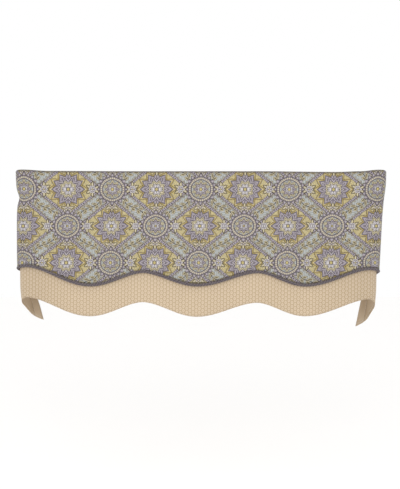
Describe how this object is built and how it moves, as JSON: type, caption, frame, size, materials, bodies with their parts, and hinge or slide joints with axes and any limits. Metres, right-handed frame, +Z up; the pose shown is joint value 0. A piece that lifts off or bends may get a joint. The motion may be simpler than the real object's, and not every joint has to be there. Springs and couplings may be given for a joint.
{
  "type": "window valance",
  "caption": "Scalloped rod-pocket window valance: a printed face edged with twisted cord over a longer cream panel, lined, with returns to the wall.",
  "frame": {"origin": "middle of the front's top edge, where the rod in the pocket holds the valance up", "axes": "+X along the window to the right, +Y back to the wall, +Z up"},
  "size_m": [1.1035, 0.1029, 0.4757],
  "materials": {
    "printed_cotton": "matt cotton with a floral trellis print in gold, grey-blue and violet-grey",
    "twisted_cord": "twisted violet-grey cord with a soft sheen",
    "cream_weave": "cream jacquard with a small oval repeat",
    "lining_cotton": "plain beige lining cotton"
  },
  "bodies": {
    "root": {"face_panel": "printed_cotton", "lip_cord": "twisted_cord", "under_panel": "cream_weave", "lining": "lining_cotton"}
  },
  "joints": []
}
